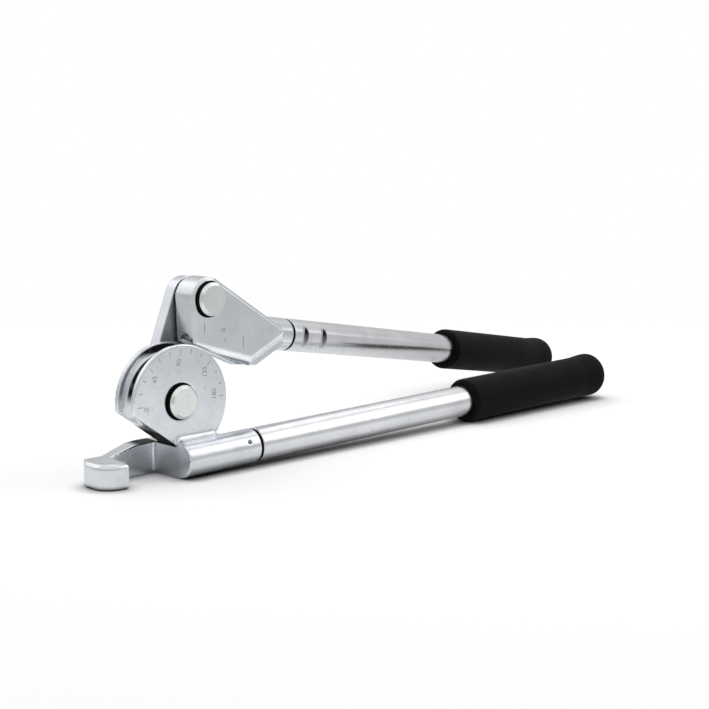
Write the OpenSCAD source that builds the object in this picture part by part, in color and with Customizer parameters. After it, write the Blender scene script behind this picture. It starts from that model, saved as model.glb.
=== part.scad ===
// Lever tube bender for one size of tube: a grooved wheel with a hook, a forming shoe that
// rolls round the wheel on a link, and two tube handles with rubber grips.
// Millimetres, Z up. X runs from the hook to the grips, Y along the wheel's axis to the back.
// The origin is on the floor under the wheel's axis, in the wheel's middle plane.

/* [Tube that is bent] */
// Outside diameter of the tube
tube_od = 9.525; // [8:0.005:10.5]
// Bend radius, to the tube's centre line
bend_r = 23.8; // [22:0.1:26]
// Clearance of the grooves around the tube
groove_clear = 0.05; // [0:0.01:0.2]

/* [Wheel] */
// Height of the wheel's axis above the floor
axis_h = 33.5; // [31:0.1:37]
// Thickness of the wheel and of the shoe
head_t = 14.2; // [12.5:0.1:16]
// How far the wheel's flanges reach past the tube's centre line
flange_over = 1.2; // [0.6:0.1:2]
// Distance from the wheel's axis to the flat below it
flat_dist = 17.2; // [15:0.1:19]
// Slope of the flat, falling to the right, in degrees
flat_slope = 36; // [30:1:42]

/* [Hook and arm] */
// Width of the hook finger along X
hook_w = 12.6; // [10:0.1:15]
// How far the finger reaches to the front of the middle plane
hook_front = 8.6; // [6:0.1:10]
// Height of the hook finger
hook_h = 11.2; // [9:0.1:12.5]
// Radius of the finger's outer front corner
hook_nose_r = 9; // [5:0.1:9.8]
// Chamfer round the finger's top
hook_chamfer = 1.5; // [0.5:0.1:2.5]
// Chamfer round the finger's underside
nose_chamfer = 1.2; // [0.5:0.1:2.5]
// Room behind the tube's fixed leg, in front of the arm
leg_room = 1; // [0.3:0.1:2]
// Thickness of the arm behind the fixed leg
arm_t = 6.2; // [4:0.1:8]
// How far the arm steps back on its way to the socket
arm_step = 4; // [2:0.1:5]
// Thickness of the base at the back of the wheel
base_t = 9.8; // [8:0.1:12]
// Height of the arm and of the base under the wheel
base_h = 14; // [12.6:0.1:15.5]
// Length of the base under the wheel, along X
base_l = 24; // [18:0.5:30]
// Chamfer round the underside
foot_chamfer = 1.8; // [0.5:0.1:3]
// Run of the blend from the wheel's face down to the socket
face_blend = 1.6; // [1:0.1:4]
// Flat across the corner between the arm and the socket's end
notch_flat = 1.2; // [0.4:0.1:2]

/* [Pins] */
// Diameter of the two pivot pins
pin_d = 14.8; // [13:0.1:15.4]
// How far a pin stands out at the front
pin_proud = 3.1; // [1:0.1:5]
// Diameter of the pin's tenon in the link
tenon_d = 10; // [7:0.1:12]
// Diameter of the riveted head behind the link
rivet_d = 13; // [12.5:0.1:15]
// Height of the riveted head
rivet_h = 1.6; // [0.8:0.1:3]
// Chamfer on the front of a pin
pin_chamfer = 1.3; // [0.4:0.1:1.8]
// Chamfer at the mouth of a pin's bore
bore_chamfer = 0.7; // [0.2:0.1:1]
// Radial clearance of a pin in its running bore
pin_clear = 0.05; // [0.02:0.01:0.1]
// Radial clearance of a piece that is fixed in another
seat_clear = 0.02; // [0.01:0.01:0.05]
// Wire diameter of the snap rings hidden in the bores
ring_wire = 1.4; // [1:0.1:2]
// Slit of a snap ring, in degrees
ring_slit = 30; // [15:5:60]
// Air round that wire in the bore's groove
ring_air = 0.15; // [0.05:0.05:0.3]

/* [Link] */
// Distance between the two pivots
link_l = 46.4; // [45.5:0.1:49]
// Lean of the link to the right, in degrees
link_lean = 21; // [15:0.5:25]
// Width of the link
link_w = 18; // [16:0.1:20]
// Thickness of the link
link_t = 6.4; // [5:0.1:8]
// Thickness of the washers between link, wheel and shoe
washer_t = 0.7; // [0.4:0.1:1.5]
// Outside diameter of those washers
washer_od = 17.4; // [16.5:0.1:18.5]
// End play beside each washer
end_play = 0.1; // [0.05:0.05:0.2]

/* [Shoe] */
// Slope of the shoe's grooved face, falling to the right, in degrees
shoe_slope = 24.7; // [22:0.1:27]
// Gap between the shoe's grooved face and the wheel's rim
shoe_gap = 0.35; // [0.25:0.05:1]
// Radius of the boss round the shoe's pin
boss_r = 9.5; // [9.1:0.1:10.5]
// Length of the grooved face, from below the pin
foot_l = 32; // [26:0.1:34]
// Corner beyond the grooved face, along the face
corner_run = 10.3; // [8:0.1:12]
// Corner beyond the grooved face, up from the face
corner_rise = 3.4; // [2:0.1:5]
// Length of the flank from that corner up to the neck
flank_l = 17.5; // [14:0.1:19]
// Distance from the pin to the centre of the rounded tip
tip_reach = 43.6; // [40:0.1:48]
// Radius of the tip
tip_r = 3; // [2:0.1:4]
// Turn of the long bevel against the grooved face, in degrees
bevel_turn = 7.7; // [5:0.1:10]
// Turn of the short bevel against the grooved face, in degrees
bevel_turn_end = 50; // [46:0.1:54]
// Where the two bevels meet, from the pin along the face
bevel_run = 32.2; // [28:0.1:35]
// Tilt of the bevels against the front, in degrees
bevel_tilt = 30; // [25:1:40]
// Tilt of the steeper slopes outside the bevels, in degrees
slope_tilt = 45; // [42:1:50]
// How far the slope outside the long bevel would start from its edge
slope_step = 0.9; // [0.4:0.1:1.5]
// How far the slope outside the short bevel would start from its edge
slope_step_end = 1.4; // [0.8:0.1:2]
// How far the bevels start above the grooved face
bevel_lift = 0.6; // [0.2:0.1:1.5]
// Chamfer round the boss, from the top to the heel
boss_chamfer = 1.4; // [0.5:0.1:2]
// Chamfer along the shoe's top edges
top_chamfer = 1.6; // [0.3:0.1:2]

/* [Handles] */
// Outside diameter of the handle tubes
handle_od = 15.875; // [14:0.005:16.5]
// Wall of the handle tubes
handle_wall = 1.6; // [1.2:0.1:2.5]
// Length of bare tube between the head and the grip
bare_l = 142; // [100:1:170]
// Open gap at the seam between head and tube
seam_gap = 0.9; // [0.3:0.1:1.5]
// Chamfers on both sides of that gap
seam_chamfer = 0.5; // [0.2:0.1:1]
// Lower handle: distance of its axis to the front of the middle plane
lower_front = 8.9; // [8:0.1:10]
// Lower handle: height of its socket's underside above the floor
socket_lift = 0.35; // [0:0.05:1]
// Lower handle: rise towards the grip, in degrees
lower_rise = 0.97; // [0:0.01:2]
// Lower handle: where the socket begins, left of the wheel's axis
socket_start = 3; // [1:0.1:5]
// Lower handle: where the socket ends, right of the wheel's axis
socket_end = 37.4; // [34:0.1:42]
// Depth of the tube's reduced end in the socket
reduced_l = 20; // [15:0.5:25]
// Diameter of the tube's reduced end
reduced_d = 11.6; // [10:0.1:12.4]
// Diameter of the drive pin that locks it
drive_d = 1.6; // [1:0.1:2.5]
// Distance of the drive pin from the seam
drive_back = 6.4; // [4:0.1:9]
// Turn of the drive pin above the horizontal, in degrees
drive_turn = 28; // [0:1:60]
// Upper handle: its reference point right of the shoe's pin
neck_right = 38.4; // [36:0.1:42]
// Upper handle: its reference point below the shoe's pin
neck_down = 19.84; // [18:0.1:21]
// Upper handle: its reference point behind the middle plane
neck_back = 15.6; // [14.5:0.1:17]
// Upper handle: fall towards the grip, in degrees
upper_drop = 9.42; // [7:0.01:11]
// Upper handle: splay to the back, in degrees
upper_splay = 9.09; // [5:0.01:12]
// Length of the neck from its reference point to the seam
neck_l = 26.3; // [20:0.1:32]
// Length of the neck that is rooted behind the shoe
neck_root = 21; // [18:0.1:23]
// Length of the neck's domed end
root_dome = 6; // [3:0.1:8]
// Length of the neck's spigot in the upper tube
spigot_l = 31; // [26:0.5:40]
// Distance from the seam to the first crimp
crimp_start = 9.1; // [6:0.1:11]
// Distance between the two crimps
crimp_step = 14.3; // [10:0.1:16]
// Radius of the round blade that presses a crimp across the tube
crimp_r = 2.4; // [1.5:0.1:3]
// Depth of a crimp
crimp_depth = 1.9; // [0.5:0.1:2.2]

/* [Grips] */
// Length of a grip from its front lip to its end
grip_l = 114; // [90:0.1:140]
// Radius of a grip
grip_r = 11.2; // [10.4:0.1:11.8]
// Radius of the knob near a grip's end
knob_r = 12; // [11.9:0.1:13.5]
// Length of the knob and the round end
knob_l = 22; // [14:0.1:30]
// Length of the round end alone
dome_l = 7.8; // [5:0.1:12]
// Rubber left beyond the end of the tube
grip_end_t = 6; // [4:0.1:10]
// Rounding of the front lip
lip_r = 2.4; // [0.5:0.1:2.6]

/* [Hidden] */
$fn = 96;
tube_r = tube_od / 2;
groove_r = tube_r + groove_clear;
wheel_r = bend_r + flange_over;
front_y = -head_t / 2;
back_y = head_t / 2;
big = 10 * wheel_r;
// Overrun of cuts past the faces that they open
past = 1;
// Straight edges run this far inside the arc that they meet, so that they cross it at a clear angle
tangent_step = 0.06;

pin_r = pin_d / 2;
bore_r = pin_r + pin_clear;
tenon_r = tenon_d / 2;
link_front = back_y + end_play + washer_t;
link_back = link_front + link_t;
wire_r = ring_wire / 2;

// The shoe's pin, seen from the front
pin_x = link_l * sin(link_lean);
pin_z = axis_h + link_l * cos(link_lean);
// Turn between the link's square and the shoe's face
shoe_off = shoe_slope - link_lean;
// The shoe's grooved face and the tube's centre line, below the shoe's pin
face_v = wheel_r + shoe_gap - link_l * cos(shoe_off);
centre_v = bend_r - link_l * cos(shoe_off);
// The corner beyond the grooved face
corner_u = foot_l + corner_run;
corner_v = face_v + corner_rise;
// The shoe's straight edges, by their distance from the pin and the directions that they face
edge_r = boss_r - tangent_step;
top_a = belt_angle(tip_reach, edge_r, tip_r);
heel_a = 270 - acos(-edge_r / face_v);
// The point where the two bevels meet on the front face
bevel_v = face_v + bevel_run * tan(bevel_turn) + bevel_lift;

handle_r = handle_od / 2;
tube_bore_r = handle_r - handle_wall;
reduced_r = reduced_d / 2;
spigot_r = tube_bore_r - seat_clear;
// The hook's inner face and the arm stand off the tube's fixed leg
hook_in = bend_r + groove_r;
arm_front = groove_r + leg_room;
arm_back = arm_front + arm_t;
base_back = arm_front + arm_step + base_t;
tube_l = bare_l + grip_l - grip_end_t - seam_gap;
// Where the second crimp's inner wall ends, from the seam
crimps_end = crimp_start + crimp_step + crimp_r + handle_wall;

function polar(r, a) = [r * cos(a), r * sin(a)];
// Angle at which the common upper tangent touches two circles, d apart
function belt_angle(d, r1, r2) = acos((r1 - r2) / d);

// A cylinder along Y between two depths
module rod_y(r, from_y, to_y) {
    translate([0, to_y, 0])
        rotate([90, 0, 0])
            cylinder(r = r, h = to_y - from_y);
}

// A cylinder along X between two stations
module rod_x(r, from_x, to_x) {
    translate([from_x, 0, 0])
        rotate([0, 90, 0])
            cylinder(r = r, h = to_x - from_x);
}

// A cone along X between two stations
module cone_x(r_from, r_to, from_x, to_x) {
    translate([from_x, 0, 0])
        rotate([0, 90, 0])
            cylinder(r1 = r_from, r2 = r_to, h = to_x - from_x);
}

// An outline in X and Z, extruded between two depths
module slab(from_y, to_y) {
    translate([0, to_y, 0])
        rotate([90, 0, 0])
            linear_extrude(height = to_y - from_y)
                children();
}

module at_wheel_pin() {
    translate([0, 0, axis_h])
        children();
}

module at_shoe_pin() {
    translate([pin_x, 0, pin_z])
        children();
}

// The shoe's own directions: X along its grooved face, Z away from the wheel
module on_shoe() {
    at_shoe_pin()
        rotate([0, shoe_slope, 0])
            children();
}

// Stations along the lower handle's axis, from below the wheel
module along_lower() {
    translate([0, -lower_front, socket_lift + handle_r])
        rotate([0, -lower_rise, 0])
            children();
}

// Stations along the upper handle's axis, from its reference point behind the shoe
module along_upper() {
    translate([pin_x + neck_right, neck_back, pin_z - neck_down])
        rotate([0, upper_drop, upper_splay])
            children();
}

// The grooved disc, cut flat at the lower left
module wheel_disc() {
    at_wheel_pin()
        difference() {
            rod_y(wheel_r, front_y, back_y);
            rotate([90, 0, 0])
                rotate_extrude()
                    translate([bend_r, 0])
                        circle(r = groove_r);
            rotate([0, flat_slope, 0])
                translate([-big / 2, -big / 2, -flat_dist - big])
                    cube([big, big, big]);
        }
}

// Edge of the finger, as a run outwards against a height, from its underside to its top
function finger_edge(inner, outer) = [
    [inner, 0],
    [outer - nose_chamfer, 0],
    [outer, nose_chamfer],
    [outer, hook_h - hook_chamfer],
    [outer - hook_chamfer, hook_h],
    [inner, hook_h]
];

// The hook's finger: a straight left side and front, joined by the round nose
module finger() {
    nose_x = -hook_in - hook_w + hook_nose_r;
    nose_y = -hook_front + hook_nose_r;
    translate([nose_x, nose_y, 0])
        rotate([0, 0, 180])
            rotate_extrude(angle = 90)
                polygon(finger_edge(0, hook_nose_r));
    // Left side, from the nose back to the arm
    translate([nose_x, arm_front + past, 0])
        rotate([90, 0, 0])
            linear_extrude(height = arm_front + past - nose_y)
                mirror([1, 0])
                    polygon(finger_edge(-hook_w + hook_nose_r, hook_nose_r));
    // Front, from the nose to the finger's inner face
    translate([nose_x, nose_y, 0])
        rotate([90, 0, 90])
            linear_extrude(height = hook_w - hook_nose_r)
                mirror([1, 0])
                    polygon(finger_edge(0, hook_nose_r));
}

// Arm and base, seen from above
module foot_plan() {
    hook_left = hook_in + hook_w;
    root_x = -socket_start;
    root_y = arm_front + arm_step;
    arm_slope = arm_step / (hook_in + root_x);
    // Arm behind the fixed leg, from the finger to the base
    polygon([
        [-hook_left, arm_front],
        [-hook_in, arm_front],
        [root_x - notch_flat, root_y - notch_flat * arm_slope],
        [root_x, root_y - notch_flat],
        [root_x + past, root_y - notch_flat],
        [root_x + past, base_back],
        [-hook_in, arm_back],
        [-hook_left + arm_t / 2, arm_back]
    ]);
    // Base under the wheel, from the socket's axis to the back
    translate([root_x, -lower_front])
        square([base_l, lower_front + base_back]);
}

// The same, seen from the front: the arm is lower at the finger
module foot_side() {
    hook_left = hook_in + hook_w;
    polygon([
        [-hook_left + nose_chamfer, 0],
        [base_l, 0],
        [base_l, base_h],
        [-hook_in / 2, base_h],
        [-hook_in, hook_h],
        [-hook_left + hook_chamfer, hook_h],
        [-hook_left, hook_h - hook_chamfer],
        [-hook_left, nose_chamfer]
    ]);
}

// The same, seen from the end, with the back edges chamfered
module foot_end() {
    polygon([
        [-lower_front, 0],
        [base_back - foot_chamfer, 0],
        [base_back, foot_chamfer],
        [base_back, base_h - foot_chamfer],
        [base_back - foot_chamfer, base_h],
        [-lower_front, base_h]
    ]);
}

module foot() {
    intersection() {
        linear_extrude(height = base_h)
            foot_plan();
        slab(-big, big)
            foot_side();
        translate([-big / 2, 0, 0])
            rotate([90, 0, 90])
                linear_extrude(height = big)
                    foot_end();
    }
}

// The slope that blends the lower part of the wheel's face into the socket, within the wheel's rim
module face_slope() {
    socket_top = socket_lift + handle_od;
    intersection() {
        translate([-socket_start, 0, 0])
            rotate([90, 0, 90])
                linear_extrude(height = big)
                    polygon([
                        [front_y + past, socket_top + face_blend + past],
                        [front_y - face_blend, socket_top],
                        [front_y - face_blend, socket_top - past],
                        [front_y + past, socket_top - past]
                    ]);
        at_wheel_pin()
            rod_y(wheel_r - tangent_step, -big, big);
    }
}

// A running bore with its chamfered mouth and the groove for its snap ring
module pivot_bore() {
    rod_y(bore_r, -big, big);
    rotate([90, 0, 0])
        translate([0, 0, -front_y - bore_chamfer])
            cylinder(r1 = bore_r, r2 = bore_r + 2 * bore_chamfer, h = 2 * bore_chamfer);
    rotate([90, 0, 0])
        rotate_extrude()
            translate([pin_r, 0])
                circle(r = wire_r + ring_air, $fn = 32);
}

// The drive pin's direction, across the lower handle near its seam
module across_lower() {
    along_lower()
        translate([socket_end - drive_back, 0, 0])
            rotate([-drive_turn, 0, 0])
                children();
}

module bending_form() {
    color("gainsboro")
        difference() {
            union() {
                wheel_disc();
                face_slope();
                finger();
                foot();
                along_lower() {
                    rod_x(handle_r, -socket_start, socket_end - seam_chamfer);
                    cone_x(handle_r, handle_r - seam_chamfer, socket_end - seam_chamfer, socket_end);
                }
            }
            at_wheel_pin()
                pivot_bore();
            along_lower()
                rod_x(reduced_r + seat_clear, socket_end - reduced_l - seat_clear, socket_end + past);
            across_lower()
                rod_y(drive_d / 2 + seat_clear, -big, 0);
            // Nothing reaches below the floor
            translate([-big / 2, -big / 2, -big])
                cube([big, big, big]);
        }
}

// The shoe's outline, seen from the front, with its pin at the origin
module shoe_outline() {
    tip = [tip_reach, 0];
    heel = [0, face_v];
    corner = [corner_u, corner_v];
    circle(r = boss_r);
    translate(tip)
        circle(r = tip_r);
    polygon([
        heel,
        [foot_l, face_v],
        corner,
        corner + polar(flank_l, bevel_turn_end),
        tip + [tip_r - tangent_step, 0],
        tip,
        tip + polar(tip_r, top_a),
        polar(edge_r, top_a),
        [0, 0],
        polar(edge_r, heel_a)
    ]);
}

// A half space that bevels the shoe's front edge, turned from the grooved face and tilted from the
// front, through the point where the bevels meet or a step outside it
module bevel_cut(turn, tilt, step) {
    translate([bevel_run, front_y, bevel_v])
        rotate([0, -turn, 0])
            translate([0, 0, -step])
                rotate([tilt, 0, 0])
                    translate([-big / 2, -big, -big / 2])
                        cube([big, big, big]);
}

// The same on an edge that faces the given direction, seen from the front, with a 45 degree chamfer
module edge_cut(direction, chamfer) {
    rotate([0, -90 - direction, 0])
        translate([0, front_y, -edge_r + chamfer])
            rotate([45, 0, 0])
                translate([-big / 2, -big, -big / 2])
                    cube([big, big, big]);
}

module shoe_plate() {
    // Flats that make up the chamfer round the boss
    boss_cuts = 4;
    difference() {
        slab(front_y, back_y)
            shoe_outline();
        // Groove for the tube
        translate([0, 0, centre_v])
            rod_x(groove_r, -big, big);
        // Chamfers along the top and round the boss to the heel, at the front and the back
        for (side = [0, 1])
            mirror([0, side, 0]) {
                edge_cut(top_a, top_chamfer);
                for (i = [1:boss_cuts])
                    edge_cut(top_a + (heel_a - top_a) * i / boss_cuts, boss_chamfer);
            }
        // Bevels and slopes that clear the lower handle at the end of the stroke
        bevel_cut(bevel_turn, bevel_tilt, 0);
        bevel_cut(bevel_turn, slope_tilt, slope_step);
        bevel_cut(bevel_turn_end, bevel_tilt, 0);
        bevel_cut(bevel_turn_end, slope_tilt, slope_step_end);
    }
}

// Half outline of the neck: a domed root, the shoulder at the seam and the spigot
module neck_profile() {
    arc_steps = 12;
    polygon([
        [0, -neck_root - root_dome * cos(90 / arc_steps)],
        for (i = [1:arc_steps]) [
            handle_r * sin(90 * i / arc_steps),
            -neck_root - root_dome * cos(90 * i / arc_steps)
        ],
        [handle_r, neck_l - seam_chamfer],
        [handle_r - seam_chamfer, neck_l],
        [spigot_r, neck_l],
        [spigot_r, neck_l + spigot_l],
        [0, neck_l + spigot_l]
    ]);
}

module forming_shoe() {
    color("gainsboro")
        difference() {
            union() {
                on_shoe()
                    shoe_plate();
                along_upper()
                    rotate([0, 90, 0])
                        rotate_extrude()
                            neck_profile();
            }
            at_shoe_pin()
                pivot_bore();
            // The spigot gives way to the crimps
            along_upper()
                crimp_blades(crimp_r + handle_wall + seat_clear);
        }
}

module link() {
    color("gainsboro")
        at_wheel_pin()
            rotate([0, link_lean, 0])
                difference() {
                    slab(link_front, link_back) {
                        circle(d = link_w);
                        translate([0, link_l])
                            circle(d = link_w);
                        translate([-link_w / 2, 0])
                            square([link_w, link_l]);
                    }
                    rod_y(tenon_r + seat_clear, -big, big);
                    translate([0, 0, link_l])
                        rod_y(tenon_r + seat_clear, -big, big);
                }
}

// Journal, tenon and riveted head in one, with the snap ring's groove
module pivot_pin() {
    pin_front = front_y - pin_proud;
    color("lightgray")
        difference() {
            union() {
                rod_y(pin_r, pin_front + pin_chamfer, link_front);
                rotate([90, 0, 0])
                    translate([0, 0, -pin_front - pin_chamfer])
                        cylinder(r1 = pin_r, r2 = pin_r - pin_chamfer, h = pin_chamfer);
                rod_y(tenon_r, 0, link_back);
                rotate([-90, 0, 0])
                    translate([0, 0, link_back])
                        cylinder(r1 = rivet_d / 2, r2 = rivet_d / 2 - rivet_h, h = rivet_h);
            }
            rotate([90, 0, 0])
                rotate_extrude()
                    translate([pin_r, 0])
                        circle(r = wire_r + seat_clear, $fn = 32);
        }
}

module wheel_pin() {
    at_wheel_pin()
        pivot_pin();
}

module shoe_pin() {
    at_shoe_pin()
        pivot_pin();
}

module snap_ring() {
    color("dimgray")
        rotate([90, ring_slit / 2, 0])
            rotate_extrude(angle = 360 - ring_slit)
                translate([pin_r, 0])
                    circle(r = wire_r, $fn = 32);
}

module retaining_rings() {
    at_wheel_pin()
        snap_ring();
    at_shoe_pin()
        snap_ring();
}

module thrust_washer() {
    color("dimgray")
        difference() {
            rod_y(washer_od / 2, link_front - washer_t, link_front);
            rod_y(bore_r, 0, link_front + past);
        }
}

module thrust_washers() {
    at_wheel_pin()
        thrust_washer();
    at_shoe_pin()
        thrust_washer();
}

// A plain handle tube from a seam onwards, chamfered at the seam
module handle_tube(seam) {
    start = seam + seam_gap;
    difference() {
        union() {
            cone_x(handle_r - seam_chamfer, handle_r, start, start + seam_chamfer);
            rod_x(handle_r, start + seam_chamfer, start + tube_l);
        }
        rod_x(tube_bore_r, start - past, start + tube_l + past);
    }
}

module lower_tube() {
    reduced_bore = reduced_r - handle_wall;
    shoulder = socket_end + seam_gap;
    color("silver")
        difference() {
            along_lower()
                union() {
                    handle_tube(socket_end);
                    // The reduced end and the shoulder that closes on the seam
                    difference() {
                        union() {
                            rod_x(reduced_r, socket_end - reduced_l, shoulder + handle_wall);
                            rod_x(tube_bore_r + handle_wall / 2, shoulder, shoulder + handle_wall);
                        }
                        rod_x(reduced_bore, socket_end - reduced_l - past, shoulder + handle_wall + past);
                    }
                }
            across_lower()
                rod_y(drive_d / 2 + seat_clear, -big, 0);
        }
}

// The round blades that press the crimps, across the front of the upper handle
module crimp_blades(r) {
    for (i = [0:1])
        translate([
            neck_l + crimp_start + i * crimp_step,
            -handle_r - crimp_r + crimp_depth,
            -handle_r
        ])
            cylinder(r = r, h = handle_od);
}

// The tube's wall follows each crimp inwards
module upper_tube() {
    color("silver")
        along_upper()
            difference() {
                union() {
                    handle_tube(neck_l);
                    intersection() {
                        rod_x(tube_bore_r + handle_wall / 2, neck_l + seam_gap, neck_l + crimps_end);
                        crimp_blades(crimp_r + handle_wall);
                    }
                }
                crimp_blades(crimp_r);
            }
}

// A rubber grip from its front lip to its round end, turned from one outline
module grip(lip) {
    arc_steps = 12;
    body_l = grip_l - knob_l;
    waist_l = knob_l - dome_l;
    outline = [
        [0, 0],
        [grip_r - lip_r, 0],
        for (i = [1:arc_steps]) [grip_r - lip_r, lip_r] + lip_r * [
            sin(90 * i / arc_steps),
            -cos(90 * i / arc_steps)
        ],
        for (i = [0:arc_steps]) [
            grip_r + (knob_r - grip_r) * (1 - cos(180 * i / arc_steps)) / 2,
            body_l + waist_l * i / arc_steps
        ],
        for (i = [1:arc_steps - 1]) [
            knob_r * cos(90 * i / arc_steps),
            grip_l - dome_l + dome_l * sin(90 * i / arc_steps)
        ],
        [0, grip_l - dome_l + dome_l * cos(90 / arc_steps)]
    ];
    color([0.09, 0.09, 0.1])
        difference() {
            translate([lip, 0, 0])
                rotate([0, 90, 0])
                    rotate_extrude()
                        polygon(outline);
            rod_x(handle_r + seat_clear, lip - past, lip + grip_l - grip_end_t + seat_clear);
        }
}

module lower_grip() {
    along_lower()
        grip(socket_end + bare_l);
}

module upper_grip() {
    along_upper()
        grip(neck_l + bare_l);
}

module drive_pin() {
    color("dimgray")
        across_lower()
            intersection() {
                rod_y(drive_d / 2, -big, -reduced_r + handle_wall);
                rod_x(handle_r, -drive_d, drive_d);
            }
}

bending_form();
forming_shoe();
link();
wheel_pin();
shoe_pin();
retaining_rings();
thrust_washers();
lower_tube();
upper_tube();
lower_grip();
upper_grip();
drive_pin();
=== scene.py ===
import math

import bmesh
import bpy
from mathutils import Matrix, Vector


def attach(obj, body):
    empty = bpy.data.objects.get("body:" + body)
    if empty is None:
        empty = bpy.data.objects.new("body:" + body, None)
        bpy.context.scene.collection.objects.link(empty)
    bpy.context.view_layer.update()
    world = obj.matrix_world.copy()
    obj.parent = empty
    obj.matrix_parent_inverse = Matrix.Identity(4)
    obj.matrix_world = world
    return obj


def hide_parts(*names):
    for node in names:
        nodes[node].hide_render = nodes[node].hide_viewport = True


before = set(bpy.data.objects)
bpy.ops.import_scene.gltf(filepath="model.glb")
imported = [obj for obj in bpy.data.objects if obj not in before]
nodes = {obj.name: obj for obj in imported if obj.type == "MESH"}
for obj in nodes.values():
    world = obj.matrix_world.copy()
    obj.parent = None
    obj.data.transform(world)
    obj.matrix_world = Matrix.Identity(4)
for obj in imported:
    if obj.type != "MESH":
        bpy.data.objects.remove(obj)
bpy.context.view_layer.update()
scene = bpy.context.scene
scene.view_settings.view_transform = "Standard"
MM = 0.001


# Camera
# A longish lens, low and well round to the hook's side of the head, so that the wheel's face is
# seen a little narrowed and the handles run away to the right.
sensor_mm = 36
focal_pixels = 1400
picture_pixels = 709
camera_data = bpy.data.cameras.new("photo_camera")
camera_data.sensor_width = sensor_mm
camera_data.lens = sensor_mm * focal_pixels / picture_pixels
camera_data.clip_start = 0.01
camera = bpy.data.objects.new("photo_camera", camera_data)
# The camera's own right, up and back, and its place, fitted to points of the photograph
camera_right = Vector((0.721011, -0.692924, 0.0))
camera_up = Vector((0.102649, 0.106809, 0.988967))
camera_back = Vector((-0.685279, -0.713055, 0.148139))
camera_place = Vector((-0.35848, -0.48794, 0.14325))
camera_turn = Matrix((camera_right, camera_up, camera_back)).transposed().to_4x4()
camera.matrix_world = Matrix.Translation(camera_place) @ camera_turn
scene.collection.objects.link(camera)
scene.camera = camera


# Floor
# A white matt table that runs out of sight. Near the tool it is lit like any table and keeps the
# shadow; further out it turns into plain white background.
table_half = 4.0
table_drop = 0.03 * MM
floor_mesh = bpy.data.meshes.new("floor")
shape = bmesh.new()
bmesh.ops.create_grid(shape, x_segments=1, y_segments=1, size=table_half)
bmesh.ops.translate(shape, verts=shape.verts, vec=(0, 0, -table_drop))
shape.to_mesh(floor_mesh)
shape.free()
floor = bpy.data.objects.new("floor", floor_mesh)
scene.collection.objects.link(floor)


def far_from(tree, point, near, far):
    """A mask that grows from 0 to 1 with the distance from a point on the table."""
    place = tree.nodes.new("ShaderNodeTexCoord")
    distance = tree.nodes.new("ShaderNodeVectorMath")
    distance.operation = "DISTANCE"
    distance.inputs[1].default_value = point
    tree.links.new(place.outputs["Object"], distance.inputs[0])
    mask = tree.nodes.new("ShaderNodeMapRange")
    mask.interpolation_type = "SMOOTHSTEP"
    mask.inputs["From Min"].default_value = near
    mask.inputs["From Max"].default_value = far
    tree.links.new(distance.outputs["Value"], mask.inputs["Value"])
    return mask.outputs["Result"]


def matt_table(tree, openness, whiteness):
    """Matt white paint, darker where something stands close over it."""
    shade = tree.nodes.new("ShaderNodeMath")
    shade.operation = "MULTIPLY"
    shade.inputs[1].default_value = whiteness
    tree.links.new(openness, shade.inputs[0])
    matt = tree.nodes.new("ShaderNodeBsdfDiffuse")
    tree.links.new(shade.outputs[0], matt.inputs["Color"])
    return matt.outputs["BSDF"]


def plain_white(tree, strength):
    """An even white that takes no shadow."""
    light = tree.nodes.new("ShaderNodeEmission")
    light.inputs["Strength"].default_value = strength
    return light.outputs["Emission"]


def turning_into(tree, mask, first, second):
    """A shader that turns into a second one as a mask grows."""
    mixed = tree.nodes.new("ShaderNodeMixShader")
    tree.links.new(mask, mixed.inputs["Fac"])
    tree.links.new(first, mixed.inputs[1])
    tree.links.new(second, mixed.inputs[2])
    return mixed.outputs["Shader"]


def by_ray(tree, lit, mirrored, seen):
    """One shader for the light on the tool, one for what its metal mirrors, one for the eye."""
    light_path = tree.nodes.new("ShaderNodeLightPath")
    lit_or_mirrored = turning_into(tree, light_path.outputs["Is Glossy Ray"], lit, mirrored)
    to_eye = tree.nodes.new("ShaderNodeMath")
    to_eye.operation = "MAXIMUM"
    tree.links.new(light_path.outputs["Is Camera Ray"], to_eye.inputs[0])
    tree.links.new(light_path.outputs["Is Transmission Ray"], to_eye.inputs[1])
    return turning_into(tree, to_eye.outputs[0], lit_or_mirrored, seen)


floor_paint = bpy.data.materials.new("white_table")
floor_paint.use_nodes = True
tree = floor_paint.node_tree
tree.nodes.clear()
# Contact shading, which deepens the shadow close under the tool
contact_reach = 7 * MM
contact = tree.nodes.new("ShaderNodeAmbientOcclusion")
contact.samples = 16
contact.inputs["Distance"].default_value = contact_reach
openness = contact.outputs["AO"]
table_lit = matt_table(tree, openness, whiteness=0.9)
table_near = matt_table(tree, openness, whiteness=1.42)
# Painted light: near the tool the table is painted brighter than white, to the eye and in the
# metal; to the eye it turns plain white further out, and in the metal it dims away from the head
far_of_tool = far_from(tree, (0.13, 0, 0), near=0.28, far=0.8)
table_seen = turning_into(tree, far_of_tool, table_near, plain_white(tree, strength=1.0))
far_of_head = far_from(tree, (0, -0.04, 0), near=0.08, far=0.4)
table_mirrored = turning_into(tree, far_of_head, table_near, plain_white(tree, strength=0.7))
surface = tree.nodes.new("ShaderNodeOutputMaterial")
tree.links.new(by_ray(tree, table_lit, table_mirrored, table_seen), surface.inputs["Surface"])
floor_mesh.materials.append(floor_paint)


# Room light
# A white room with three soft lamps: a large one at the front on the right, which draws the white
# streak along the tubes, a close one above, which whitens the socket's top, and a large one at the
# back on the left, which lights the link's side and the wheel's rim.
def ramp(tree, value, low, high, to_low, to_high):
    """A value mapped from one range to another and held at its ends."""
    node = tree.nodes.new("ShaderNodeMapRange")
    node.inputs["From Min"].default_value = low
    node.inputs["From Max"].default_value = high
    node.inputs["To Min"].default_value = to_low
    node.inputs["To Max"].default_value = to_high
    tree.links.new(value, node.inputs["Value"])
    return node.outputs["Result"]


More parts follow.
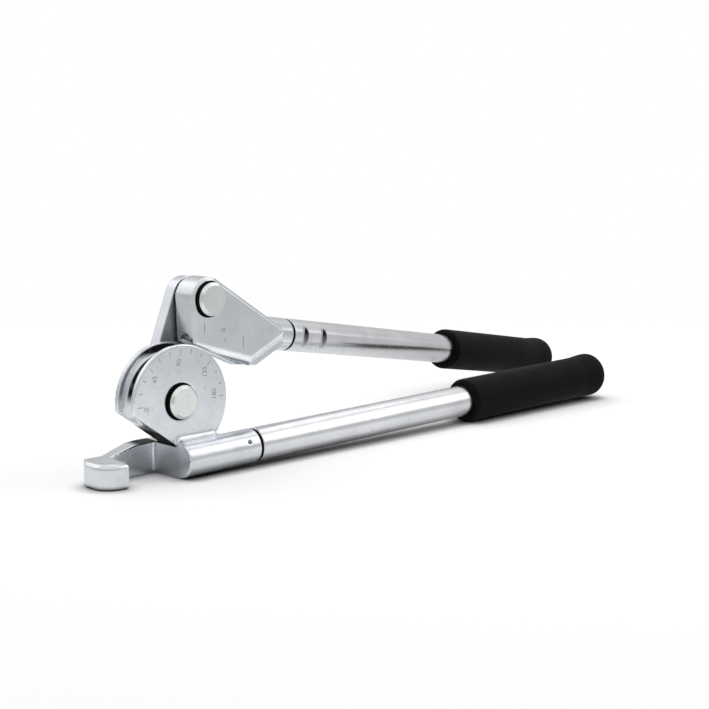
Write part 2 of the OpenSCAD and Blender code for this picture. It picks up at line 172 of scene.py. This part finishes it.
def axes_of(tree, position):
    """The X, Y and Z of a position."""
    node = tree.nodes.new("ShaderNodeSeparateXYZ")
    tree.links.new(position, node.inputs[0])
    return node.outputs


def white_light(tree):
    """White light from all round."""
    light = tree.nodes.new("ShaderNodeBackground")
    light.inputs["Color"].default_value = (1, 1, 1, 1)
    return light


world = bpy.data.worlds.new("white_room")
world.use_nodes = True
scene.world = world
tree = world.node_tree
tree.nodes.clear()
way_out = tree.nodes.new("ShaderNodeTexCoord")
height = axes_of(tree, way_out.outputs["Generated"])["Z"]
# The light comes from above more than from the sides, as under a white ceiling
room_lit = white_light(tree)
tree.links.new(ramp(tree, height, 0.0, 0.7, 0.12, 0.66), room_lit.inputs["Strength"])
# In the metal the ceiling is white and the walls are dimmer
room_mirrored = white_light(tree)
tree.links.new(ramp(tree, height, 0.4, 0.65, 0.66, 1.05), room_mirrored.inputs["Strength"])
room_seen = white_light(tree)
room_seen.inputs["Strength"].default_value = 1.0
room = by_ray(
    tree,
    room_lit.outputs["Background"],
    room_mirrored.outputs["Background"],
    room_seen.outputs["Background"],
)
surface = tree.nodes.new("ShaderNodeOutputWorld")
tree.links.new(room, surface.inputs["Surface"])


def soft_lamp(name, way, distance, width, height, watts):
    """An oblong studio lamp, some way out from the head and turned to it."""
    lamp_data = bpy.data.lights.new(name, "AREA")
    lamp_data.shape = "RECTANGLE"
    lamp_data.size = width
    lamp_data.size_y = height
    lamp_data.energy = watts
    lamp = bpy.data.objects.new(name, lamp_data)
    head = Vector((0.06, 0, 0.03))
    lamp_place = head + Vector(way).normalized() * distance
    turn = (head - lamp_place).to_track_quat("-Z", "Y")
    lamp.matrix_world = Matrix.Translation(lamp_place) @ turn.to_matrix().to_4x4()
    lamp.visible_camera = False
    scene.collection.objects.link(lamp)


soft_lamp("right_lamp", (0.686, -0.5, 0.5), distance=1.4, width=0.85, height=0.8, watts=2.3)
soft_lamp("top_lamp", (0.16, 0.1, 0.36), distance=0.42, width=0.36, height=0.4, watts=0.22)
soft_lamp("back_lamp", (-0.38, 0.72, 0.55), distance=1.4, width=1.3, height=1.0, watts=2.0)


# Bending form
# Wheel, hook, arm and socket are one steel forging, trimmed, ground on the wheel's two faces
# and plated satin bright. The die and the barrelling have rounded all its edges.
def softened_copy(node, name, voxel, rounds, soft_places=()):
    """A copy of a node with its edges rounded, more so in some places, and with an edge mask."""
    mesh = nodes[node].data.copy()
    mesh.materials.clear()
    weld_reach = 1e-7
    shape = bmesh.new()
    shape.from_mesh(mesh)
    bmesh.ops.remove_doubles(shape, verts=shape.verts, dist=weld_reach)
    shape.to_mesh(mesh)
    shape.free()
    piece = bpy.data.objects.new(name, mesh)
    scene.collection.objects.link(piece)
    block = piece.modifiers.new("block", "REMESH")
    block.mode = "VOXEL"
    block.voxel_size = voxel
    rounding = piece.modifiers.new("rounding", "SMOOTH")
    rounding.factor = 0.5
    rounding.iterations = rounds
    depsgraph = bpy.context.evaluated_depsgraph_get()
    piece.data = bpy.data.meshes.new_from_object(piece.evaluated_get(depsgraph))
    piece.data.name = name
    piece.modifiers.clear()
    shape = bmesh.new()
    shape.from_mesh(piece.data)
    for lowest, highest, more_rounds in soft_places:
        inside = [
            vert for vert in shape.verts
            if all(lowest[axis] * MM < vert.co[axis] < highest[axis] * MM for axis in range(3))
        ]
        for _ in range(more_rounds):
            bmesh.ops.smooth_vert(
                shape, verts=inside, factor=0.5, use_axis_x=True, use_axis_y=True, use_axis_z=True
            )
    shape.normal_update()
    # How far each vertex stands out of its neighbours: worn edges above 0, filled corners below
    edge = shape.verts.layers.float.new("edge")
    for vert in shape.verts:
        around = Vector()
        for side in vert.link_edges:
            around += side.other_vert(vert).co
        around /= len(vert.link_edges)
        vert[edge] = (vert.co - around).dot(vert.normal) / voxel
    shape.to_mesh(piece.data)
    shape.free()
    piece.data.shade_smooth()
    return piece


def noise(tree, position, scale, detail):
    """An even noise over a surface."""
    node = tree.nodes.new("ShaderNodeTexNoise")
    node.inputs["Scale"].default_value = scale
    node.inputs["Detail"].default_value = detail
    tree.links.new(position, node.inputs["Vector"])
    return node.outputs["Fac"]


def joined(tree, operation, first, second):
    """Two values joined by an operation."""
    node = tree.nodes.new("ShaderNodeMath")
    node.operation = operation
    tree.links.new(first, node.inputs[0])
    tree.links.new(second, node.inputs[1])
    return node.outputs[0]


def product(tree, first, *others):
    """Masks multiplied."""
    for other in others:
        first = joined(tree, "MULTIPLY", first, other)
    return first


def larger(tree, first, second):
    """The larger of two masks."""
    return joined(tree, "MAXIMUM", first, second)


def scaled(tree, colour, factor):
    """A colour made lighter or darker."""
    node = tree.nodes.new("ShaderNodeVectorMath")
    node.operation = "SCALE"
    tree.links.new(colour, node.inputs[0])
    tree.links.new(factor, node.inputs["Scale"])
    return node.outputs["Vector"]


def relief(tree, height, strength, depth):
    """A bump node that raises a surface by a height."""
    node = tree.nodes.new("ShaderNodeBump")
    node.inputs["Strength"].default_value = strength
    node.inputs["Distance"].default_value = depth
    tree.links.new(height, node.inputs["Height"])
    return node


def plated_skin():
    """Node group: grain, clouds, scuffs and polished edges of a plated surface, with painted shade
    in its filled corners and a darkening from a mask.
    """
    group = bpy.data.node_groups.new("plated_skin", "ShaderNodeTree")
    group.interface.new_socket("Vector", in_out="INPUT", socket_type="NodeSocketVector")
    group.interface.new_socket("Color", in_out="INPUT", socket_type="NodeSocketColor")
    for name in ("Roughness", "Edge", "Darkening"):
        group.interface.new_socket(name, in_out="INPUT", socket_type="NodeSocketFloat")
    group.interface.new_socket("Color", in_out="OUTPUT", socket_type="NodeSocketColor")
    for name in ("Roughness", "Height"):
        group.interface.new_socket(name, in_out="OUTPUT", socket_type="NodeSocketFloat")
    taken = group.nodes.new("NodeGroupInput").outputs
    given = group.nodes.new("NodeGroupOutput").inputs
    grain = noise(group, taken["Vector"], scale=1400, detail=4)
    cloud = noise(group, taken["Vector"], scale=85, detail=3)
    scuff = noise(group, taken["Vector"], scale=330, detail=7)
    polished = ramp(group, taken["Edge"], 0.02, 0.12, 0.0, 1.0)
    filled = ramp(group, taken["Edge"], -0.12, -0.02, 1.0, 0.0)
    # Painted shade: filled corners are darkened, in patches
    corner_shade = product(group, filled, ramp(group, scuff, 0.35, 0.6, 0.0, 0.45))
    darkening = larger(group, corner_shade, taken["Darkening"])
    # Clouds and scuffs shift the tone a little, polished edges are lighter, and the darkening,
    # painted shade included, goes near black
    tone = product(
        group,
        ramp(group, cloud, 0.3, 0.7, 0.92, 1.05),
        ramp(group, scuff, 0.6, 0.72, 1.0, 0.9),
        ramp(group, polished, 0.0, 1.0, 1.0, 1.12),
        ramp(group, darkening, 0.0, 1.0, 1.0, 0.02),
    )
    group.links.new(scaled(group, taken["Color"], tone), given["Color"])
    # Scuffs and darkened places are duller, polished edges glossier
    rough = joined(group, "ADD", taken["Roughness"], ramp(group, grain, 0.25, 0.75, -0.02, 0.02))
    rough = joined(group, "ADD", rough, ramp(group, scuff, 0.6, 0.75, 0.0, 0.1))
    rough = joined(group, "SUBTRACT", rough, ramp(group, polished, 0.0, 1.0, 0.0, 0.07))
    rough = joined(group, "ADD", rough, ramp(group, darkening, 0.0, 1.0, 0.0, 0.35))
    group.links.new(rough, given["Roughness"])
    fine = ramp(group, grain, 0.0, 1.0, 0.0, 0.2)
    wavy = ramp(group, cloud, 0.0, 1.0, 0.0, 2.0)
    group.links.new(joined(group, "ADD", fine, wavy), given["Height"])
    return group


skin_group = plated_skin()


def plated_metal(name, colour, roughness, bump):
    """A plated steel: metal with the skin group on its colour, gloss and surface."""
    metal = bpy.data.materials.new(name)
    metal.use_nodes = True
    tree = metal.node_tree
    shader = tree.nodes["Principled BSDF"]
    shader.inputs["Metallic"].default_value = 1.0
    place = tree.nodes.new("ShaderNodeTexCoord")
    place.name = "place"
    edge = tree.nodes.new("ShaderNodeAttribute")
    edge.attribute_name = "edge"
    skin = tree.nodes.new("ShaderNodeGroup")
    skin.name = "skin"
    skin.node_tree = skin_group
    skin.inputs["Color"].default_value = (*colour, 1)
    skin.inputs["Roughness"].default_value = roughness
    tree.links.new(place.outputs["Object"], skin.inputs["Vector"])
    tree.links.new(edge.outputs["Fac"], skin.inputs["Edge"])
    tree.links.new(skin.outputs["Color"], shader.inputs["Base Color"])
    tree.links.new(skin.outputs["Roughness"], shader.inputs["Roughness"])
    skin_relief = relief(tree, skin.outputs["Height"], strength=bump, depth=0.1 * MM)
    skin_relief.name = "skin_relief"
    tree.links.new(skin_relief.outputs["Normal"], shader.inputs["Normal"])
    return metal


def place_of(tree):
    """The position on a piece of plated metal."""
    return tree.nodes["place"].outputs["Object"]


def darken_where(tree, mask):
    """Darken a plated metal towards near black where a mask says so."""
    tree.links.new(mask, tree.nodes["skin"].inputs["Darkening"])


def above(tree, value, start, full):
    """A mask that grows from 0 to 1 between two lengths in millimetres."""
    return ramp(tree, value, start * MM, full * MM, 0.0, 1.0)


def below(tree, value, full, end):
    """A mask that falls from 1 to 0 between two lengths in millimetres."""
    return ramp(tree, value, full * MM, end * MM, 1.0, 0.0)


def band(tree, value, rise, fall):
    """A mask that grows over one span in millimetres and falls over a later one."""
    return product(tree, above(tree, value, *rise), below(tree, value, *fall))


def length_over(tree, position, kept_axes):
    """Length of a position over some of its axes."""
    flat = tree.nodes.new("ShaderNodeVectorMath")
    flat.operation = "MULTIPLY"
    flat.inputs[1].default_value = kept_axes
    tree.links.new(position, flat.inputs[0])
    length = tree.nodes.new("ShaderNodeVectorMath")
    length.operation = "LENGTH"
    tree.links.new(flat.outputs["Vector"], length.inputs[0])
    return length.outputs["Value"]


def radius_about(tree, axis_place):
    """Distance from an axis along Y, and the position seen from it."""
    centred = tree.nodes.new("ShaderNodeMapping")
    centred.inputs["Location"].default_value = -axis_place
    tree.links.new(place_of(tree), centred.inputs["Vector"])
    from_axis = centred.outputs["Vector"]
    return length_over(tree, from_axis, (1, 0, 1)), from_axis


wheel_axis = Vector((0, 0, 33.5)) * MM
flat_slope = math.radians(36)
forged_colour = (0.66, 0.68, 0.71)
satin_bump = 0.1
form_plate = plated_metal("form_plate", forged_colour, roughness=0.24, bump=satin_bump)
tree = form_plate.node_tree
where = axes_of(tree, place_of(tree))
radius, from_axis = radius_about(tree, wheel_axis)
from_wheel = axes_of(tree, from_axis)
# Painted shade darkens both sides of the wheel's groove; its bottom stays bright
off_middle = tree.nodes.new("ShaderNodeMath")
off_middle.operation = "ABSOLUTE"
tree.links.new(from_wheel["Y"], off_middle.inputs[0])
groove_side_shade = product(
    tree,
    band(tree, off_middle.outputs[0], (1.6, 2.2), (3.5, 3.8)),
    above(tree, from_wheel["Z"], 0.0, 4.0),
    below(tree, radius, 22.6, 23.6),
)
# Near the top the painted shade stands up the groove's back wall
groove_wall_shade = product(
    tree,
    band(tree, from_wheel["Y"], (3.9, 4.2), (5.0, 5.2)),
    above(tree, from_wheel["Z"], 18.5, 21),
    below(tree, radius, 23.9, 24.4),
)
patchy = noise(tree, place_of(tree), scale=420, detail=4)
groove_shade = larger(tree, groove_side_shade, groove_wall_shade)
groove_shade = product(tree, groove_shade, ramp(tree, patchy, 0.25, 0.5, 0.9, 1.0))
# Painted shade also on the wheel's flat, where that runs down to the arm, and on the arm's top
# below
to_flat = tree.nodes.new("ShaderNodeVectorMath")
to_flat.operation = "DOT_PRODUCT"
to_flat.inputs[1].default_value = (-math.sin(flat_slope), 0, -math.cos(flat_slope))
tree.links.new(from_axis, to_flat.inputs[0])
corner_r, _ = radius_about(tree, Vector((-3, 0, 14.4)) * MM)
flat_shade = product(
    tree,
    below(tree, corner_r, 11, 17),
    band(tree, to_flat.outputs["Value"], (16.6, 16.9), (17.5, 17.8)),
)
arm_shade = product(
    tree,
    band(tree, where["X"], (-15, -11), (-3.0, -2.4)),
    band(tree, where["Z"], (13.5, 13.8), (14.2, 14.6)),
)
behind_face = above(tree, where["Y"], -7.0, -6.6)
recess_shade = product(tree, larger(tree, flat_shade, arm_shade), behind_face)
# Painted shade on the walls of the notch between the hook and the socket, most of all on the
# socket's end
from_notch = tree.nodes.new("ShaderNodeVectorMath")
from_notch.operation = "DISTANCE"
from_notch.inputs[1].default_value = Vector((-3, -2, 3)) * MM
tree.links.new(place_of(tree), from_notch.inputs[0])
notch_shade = product(
    tree,
    ramp(tree, from_notch.outputs["Value"], 6.5 * MM, 13 * MM, 0.55, 0.0),
    below(tree, where["X"], -3.2, -2.6),
    below(tree, where["Y"], 10.0, 10.4),
    below(tree, where["Z"], 13.2, 13.8),
)
darken_where(tree, larger(tree, larger(tree, groove_shade, recess_shade), notch_shade))

# Lowest corner and highest corner in millimetres, and the rounds of smoothing between them
hook_place = ((-50, -20, -1), (-29, 20, 13), 8)
crease_place = ((-4, -12, 13), (24, -6.6, 21), 35)
soft_places = (hook_place, crease_place)
form_piece = softened_copy(
    "bending_form", "bending_form_forged", voxel=0.42 * MM, rounds=5, soft_places=soft_places
)
form_piece.data.materials.append(form_plate)
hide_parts("bending_form")
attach(form_piece, "base")


# Degree scale on the wheel
# Ticks and numbers rolled into the wheel's ground face, with dark left in them by the plating.
# They are thin inlays, set into the face so that only their tops show.
face_y = -7.1 * MM
mark_proud = 0.05 * MM
mark_sunk = 0.3 * MM
mark_thick = mark_proud + mark_sunk
mark_y = face_y + (mark_sunk - mark_proud) / 2
stroke_w = 0.34
figure_h = 2.4 * MM
tick_end = 22.9 * MM
long_tick = 2.6 * MM
short_tick = 1.7 * MM
reading_upward = math.radians(90)
marks = bmesh.new()
for reading in range(0, 181, 15):
    angle = math.radians(180 - reading)
    tick_l = long_tick if reading % 45 == 0 else short_tick
    tick = bmesh.ops.create_cube(marks, size=1.0)["verts"]
    bmesh.ops.scale(marks, verts=tick, vec=(tick_l, mark_thick, stroke_w * MM))
    bmesh.ops.translate(marks, verts=tick, vec=(tick_end - tick_l / 2, 0, 0))
    bmesh.ops.rotate(marks, verts=tick, cent=(0, 0, 0), matrix=Matrix.Rotation(-angle, 3, "Y"))
    bmesh.ops.translate(marks, verts=tick, vec=wheel_axis + Vector((0, mark_y, 0)))


def stamped(shape, figure, height, place, turn):
    """A stamped figure on a face towards -Y, centred on a place and turned in that face."""
    cap_share = 0.7
    words = bpy.data.curves.new("figure", "FONT")
    words.body = figure
    words.size = height / cap_share
    words.align_x = "CENTER"
    words.align_y = "CENTER"
    words.extrude = mark_thick / 2
    words.resolution_u = 3
    holder = bpy.data.objects.new("figure", words)
    scene.collection.objects.link(holder)
    depsgraph = bpy.context.evaluated_depsgraph_get()
    mesh = bpy.data.meshes.new_from_object(holder.evaluated_get(depsgraph))
    bpy.data.objects.remove(holder)
    upright = Matrix.Rotation(math.radians(90), 4, "X")
    turned = Matrix.Rotation(-turn, 4, "Y")
    mesh.transform(Matrix.Translation(place) @ turned @ upright)
    shape.from_mesh(mesh)
    bpy.data.meshes.remove(mesh)


# Each figure with its angle in degrees and its distance from the wheel's axis in millimetres
figures = (
    ("0", 183, 18.3),
    ("45", 140.8, 17.7),
    ("90", 93, 17.2),
    ("135", 42, 17.4),
    ("180", 4, 18.0),
)
for figure, degrees, figure_r in figures:
    angle = math.radians(degrees)
    out = Vector((math.cos(angle), 0, math.sin(angle))) * figure_r * MM
    stamped(marks, figure, figure_h, wheel_axis + out + Vector((0, mark_y, 0)), reading_upward)
scale_mesh = bpy.data.meshes.new("degree_scale")
marks.to_mesh(scale_mesh)
marks.free()
scale_piece = bpy.data.objects.new("degree_scale", scale_mesh)
scene.collection.objects.link(scale_piece)
mark_plate = plated_metal("mark_plate", (0.34, 0.345, 0.36), roughness=0.45, bump=satin_bump)
scale_mesh.materials.append(mark_plate)
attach(scale_piece, "base")


# Forming shoe
# A second forging, ground flat on its face, with bevelled edges below and a round neck that
# cranks back to take the upper handle's tube.
def handle_station(tree, start, rise, splay):
    """Length along a handle from its start, and the position in the handle's own frame."""
    along = tree.nodes.new("ShaderNodeMapping")
    along.vector_type = "TEXTURE"
    along.inputs["Location"].default_value = start
    along.inputs["Rotation"].default_value = (0, math.radians(-rise), math.radians(splay))
    tree.links.new(place_of(tree), along.inputs["Vector"])
    own_place = along.outputs["Vector"]
    return axes_of(tree, own_place)["X"], own_place


upper_start = Vector((55.028, 15.6, 56.978)) * MM
upper_rise = -9.42
upper_splay = 9.09
shoe_plate = plated_metal("shoe_plate", (0.65, 0.68, 0.71), roughness=0.22, bump=satin_bump)
# Painted shade: the spigot inside the tube is painted near black, so the open seam shows as a
# black line
tree = shoe_plate.node_tree
station, _ = handle_station(tree, upper_start, upper_rise, upper_splay)
darken_where(tree, above(tree, station, 25.9, 26.1))

# Painted light: by the way they face, the two bevels are painted brighter and the slopes outside
# them darker
bevel_light = tree.nodes.new("ShaderNodeAttribute")
bevel_light.attribute_name = "bevel_light"
bevel_light_tone = scaled(
    tree,
    tree.nodes["skin"].outputs["Color"],
    ramp(tree, bevel_light.outputs["Fac"], -1.0, 1.0, 0.58, 1.42),
)
tree.links.new(bevel_light_tone, tree.nodes["Principled BSDF"].inputs["Base Color"])

shoe_piece = softened_copy("forming_shoe", "forming_shoe_forged", voxel=0.40 * MM, rounds=4)
shoe_slope = math.radians(24.7)


def facing(turn, tilt):
    """The way a bevel faces that is turned from the grooved face and tilted from the front."""
    turned = Matrix.Rotation(shoe_slope - math.radians(turn), 3, "Y")
    return turned @ Matrix.Rotation(math.radians(tilt), 3, "X") @ Vector((0, -1, 0))


def likeness(normal, ways):
    """From 0 to 1, how nearly a normal points one of the given ways."""
    least = 0.972
    fade = 0.016
    nearest = max(normal.dot(way) for way in ways)
    return min(max((nearest - least) / fade, 0), 1)


bevel_turns = (7.7, 50)
bevel_ways = [facing(turn, tilt=30) for turn in bevel_turns]
slope_ways = [facing(turn, tilt=45) for turn in bevel_turns]
shape = bmesh.new()
shape.from_mesh(shoe_piece.data)
shape.normal_update()
# Painted light: how nearly each vertex faces a bevel's way, less how nearly it faces a slope's way
bevel_light_mask = shape.verts.layers.float.new("bevel_light")
for vert in shape.verts:
    vert[bevel_light_mask] = likeness(vert.normal, bevel_ways) - likeness(vert.normal, slope_ways)
shape.to_mesh(shoe_piece.data)
shape.free()
shoe_piece.data.materials.append(shoe_plate)
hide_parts("forming_shoe")
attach(shoe_piece, "shoe_lever")

# Index strokes and a zero on the shoe's face, which are read against the wheel's scale. Each
# stroke has its X, its lower end and its upper end, in millimetres.
index_strokes = ((13.2, 62.0, 66.6), (24.6, 57.0, 58.8), (34.8, 53.4, 58.6))
zero_place = Vector((23.6 * MM, mark_y, 62.6 * MM))
index = bmesh.new()
for stroke_x, low_z, high_z in index_strokes:
    stroke = bmesh.ops.create_cube(index, size=1.0)["verts"]
    stroke_size = Vector((stroke_w, mark_thick / MM, high_z - low_z)) * MM
    bmesh.ops.scale(index, verts=stroke, vec=stroke_size)
    stroke_place = Vector((stroke_x * MM, mark_y, (low_z + high_z) / 2 * MM))
    bmesh.ops.translate(index, verts=stroke, vec=stroke_place)
stamped(index, "0", figure_h, zero_place, reading_upward)
index_mesh = bpy.data.meshes.new("shoe_index")
index.to_mesh(index_mesh)
index.free()
index_piece = bpy.data.objects.new("shoe_index", index_mesh)
scene.collection.objects.link(index_piece)
index_mesh.materials.append(mark_plate)
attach(index_piece, "shoe_lever")


# Link
# A flat steel link behind the wheel and the shoe, blanked, tumbled and plated like the forgings.
# Both pins are riveted into it.
link_plate = plated_metal("link_plate", forged_colour, roughness=0.22, bump=satin_bump)
# Painted shade darkens the front of the link
front_shade_depth = 0.89
tree = link_plate.node_tree
where = axes_of(tree, place_of(tree))
darken_where(tree, ramp(tree, where["Y"], 7.7 * MM, 8.1 * MM, front_shade_depth, 0.0))
link_piece = softened_copy("link", "link_forged", voxel=0.35 * MM, rounds=4)
link_piece.data.materials.append(link_plate)
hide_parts("link")
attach(link_piece, "link_arm")


# Pivot pins
# Turned steel pins with a chamfered end. The lathe's rings are left on the end face, and the
# shank is near black where it stands out of the bore.
shoe_axis = Vector((16.628, 0, 76.818)) * MM
pin_colour = (0.72, 0.76, 0.74)
shank_front = (-8.95, -8.85)
shank_back = (-0.2, 0.0)
tool_mark_depth = 0.05 * MM
tool_mark_strength = 0.12
for node, axis_place in (("wheel_pin", wheel_axis), ("shoe_pin", shoe_axis)):
    pin_steel = plated_metal(node + "_steel", pin_colour, roughness=0.22, bump=satin_bump)
    tree = pin_steel.node_tree
    _, from_axis = radius_about(tree, axis_place)
    darken_where(tree, band(tree, axes_of(tree, from_axis)["Y"], shank_front, shank_back))
    turned = tree.nodes.new("ShaderNodeTexWave")
    turned.wave_type = "RINGS"
    turned.rings_direction = "Y"
    turned.inputs["Scale"].default_value = 420
    turned.inputs["Distortion"].default_value = 0.6
    tree.links.new(from_axis, turned.inputs["Vector"])
    rings = relief(tree, turned.outputs["Fac"], tool_mark_strength, tool_mark_depth)
    tree.links.new(rings.outputs["Normal"], tree.nodes["skin_relief"].inputs["Normal"])
    nodes[node].data.materials.clear()
    nodes[node].data.materials.append(pin_steel)


# Washers, snap rings and drive pin
# Small bought parts of dark oiled steel: a thin washer and a wire ring at each pivot, and the
# pin driven through the socket into the lower tube, whose end is worn a little lighter.
dark_steel = plated_metal("dark_steel", (0.06, 0.06, 0.065), roughness=0.4, bump=satin_bump)
worn_steel = plated_metal("worn_steel", (0.13, 0.13, 0.14), roughness=0.4, bump=satin_bump)
for node, steel in (
    ("retaining_rings", dark_steel),
    ("thrust_washers", dark_steel),
    ("drive_pin", worn_steel),
):
    nodes[node].data.materials.clear()
    nodes[node].data.materials.append(steel)


# Handle tubes
# Drawn steel tube with bright plating, faintly lined along its length by the die. The lower one
# is reduced to go into the socket, the upper one is crimped on the neck.
lower_start = Vector((0, -8.9, 8.2875)) * MM
tube_colour = (0.68, 0.69, 0.71)
crimp_stations = (35.4, 49.7)
for node, start, rise, splay, seam in (
    ("lower_tube", lower_start, 0.97, 0.0, 38.4),
    ("upper_tube", upper_start, upper_rise, upper_splay, 27.4),
):
    tube_plate = plated_metal(node + "_plate", tube_colour, roughness=0.23, bump=0.04)
    tree = tube_plate.node_tree
    station, own_place = handle_station(tree, start, rise, splay)
    # Fine lines, drawn out along the tube
    stretched = tree.nodes.new("ShaderNodeMapping")
    stretched.inputs["Scale"].default_value = (0.02, 1, 1)
    tree.links.new(own_place, stretched.inputs["Vector"])
    drawn = noise(tree, stretched.outputs["Vector"], scale=900, detail=3)
    lines = relief(tree, drawn, tool_mark_strength, tool_mark_depth)
    tree.links.new(lines.outputs["Normal"], tree.nodes["skin_relief"].inputs["Normal"])
    # Painted shade: the tube is painted near black before the seam, so the open seam shows dark
    darkening = below(tree, station, seam, seam + 0.2)
    if node == "upper_tube":
        # Painted shade on the far wall of each crimp, stronger above the tube's middle
        own_radius = length_over(tree, own_place, (0, 1, 1))
        pressed = product(
            tree,
            below(tree, own_radius, 7.5, 7.85),
            ramp(tree, axes_of(tree, own_place)["Z"], -4 * MM, 2 * MM, 0.45, 1.0),
        )
        for crimp in crimp_stations:
            far_wall = band(tree, station, (crimp + 0.2, crimp + 0.9), (crimp + 2.6, crimp + 2.8))
            darkening = larger(tree, darkening, product(tree, pressed, far_wall))
    darken_where(tree, darkening)
    nodes[node].data.materials.clear()
    nodes[node].data.materials.append(tube_plate)


# Grips
# Moulded black rubber sleeves pushed on the tubes, matt, with a finely pebbled skin, a rolled lip
# and a thicker round end. Dust sits on them in faint patches.
clean_rubber = (0.0025, 0.0025, 0.0028, 1)
dusty_rubber = (0.006, 0.006, 0.0065, 1)
rubber = bpy.data.materials.new("black_rubber")
rubber.use_nodes = True
tree = rubber.node_tree
shader = tree.nodes["Principled BSDF"]
shader.inputs["Specular IOR Level"].default_value = 0.08
place = tree.nodes.new("ShaderNodeTexCoord")
dust = noise(tree, place.outputs["Object"], scale=60, detail=5)
dusty = tree.nodes.new("ShaderNodeMix")
dusty.data_type = "RGBA"
dusty.inputs["A"].default_value = clean_rubber
dusty.inputs["B"].default_value = dusty_rubber
tree.links.new(ramp(tree, dust, 0.45, 0.75, 0.0, 1.0), dusty.inputs["Factor"])
tree.links.new(dusty.outputs["Result"], shader.inputs["Base Color"])
tree.links.new(ramp(tree, dust, 0.3, 0.7, 0.55, 0.7), shader.inputs["Roughness"])
pebble = noise(tree, place.outputs["Object"], scale=1500, detail=2)
pebbled = relief(tree, pebble, strength=0.25, depth=0.1 * MM)
tree.links.new(pebbled.outputs["Normal"], shader.inputs["Normal"])
for node, body in (("lower_grip", "base"), ("upper_grip", "shoe_lever")):
    grip_piece = softened_copy(node, node + "_moulded", voxel=0.6 * MM, rounds=6)
    grip_piece.data.materials.append(rubber)
    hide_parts(node)
    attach(grip_piece, body)
